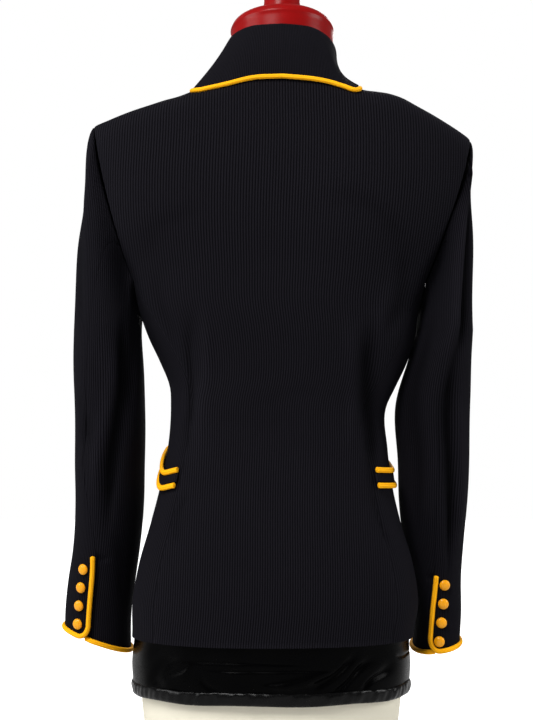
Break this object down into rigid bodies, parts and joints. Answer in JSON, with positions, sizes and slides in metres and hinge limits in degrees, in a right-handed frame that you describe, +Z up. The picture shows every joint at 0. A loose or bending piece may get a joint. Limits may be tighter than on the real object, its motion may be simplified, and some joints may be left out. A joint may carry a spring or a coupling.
{
  "type": "blazer on a dress form",
  "caption": "Fitted black rib-knit blazer with contrast piping and domed cuff buttons, worn by a limbless neck-capped dress form.",
  "frame": {"origin": "middle of the bounding box on the dress form's flat underside, which stands on the ground plane", "axes": "+Z up along the body; the garment's front faces -Y and its back +Y; the wearer's left is +X"},
  "size_m": [0.4678, 0.2526, 0.8856],
  "materials": {
    "black_knit": "fine vertical rib knit, matt with a soft nap",
    "black_satin": "smooth satin lining with soft bright streaks",
    "yellow_knit": "golden yellow rounded knit piping",
    "yellow_button": "glossy domed orange-yellow",
    "cream_linen": "smooth stretched cream cover, matt",
    "red_lacquer": "deep red gloss lacquer on turned wood"
  },
  "bodies": {
    "root": {"back_panel": "black_knit", "collar": "black_knit", "collar_piping": "yellow_knit", "cuff_piping_left": "yellow_knit", "cuff_piping_right": "yellow_knit", "form_body": "cream_linen", "form_knob": "red_lacquer", "form_neck_cap": "red_lacquer", "front_button_1": "yellow_button", "front_button_2": "yellow_button", "front_button_3": "yellow_button", "front_left": "black_knit", "front_right": "black_knit", "lapel_left": "black_knit", "lapel_piping_left": "yellow_knit", "lapel_piping_right": "yellow_knit", "lapel_right": "black_knit", "lining_band": "black_satin", "lining_hem": "black_satin", "side_panel_left": "black_knit", "side_panel_right": "black_knit", "sleeve_button_left_1": "yellow_button", "sleeve_button_left_2": "yellow_button", "sleeve_button_left_3": "yellow_button", "sleeve_button_left_4": "yellow_button", "sleeve_button_right_1": "yellow_button", "sleeve_button_right_2": "yellow_button", "sleeve_button_right_3": "yellow_button", "sleeve_button_right_4": "yellow_button", "under_cuff_piping_left": "yellow_knit", "under_cuff_piping_right": "yellow_knit", "under_sleeve_left": "black_knit", "under_sleeve_right": "black_knit", "upper_sleeve_left": "black_knit", "upper_sleeve_right": "black_knit", "waist_tab_left": "black_knit", "waist_tab_right": "black_knit", "waist_trim_lower_left": "yellow_knit", "waist_trim_lower_right": "yellow_knit", "waist_trim_upper_left": "yellow_knit", "waist_trim_upper_right": "yellow_knit"}
  },
  "joints": []
}
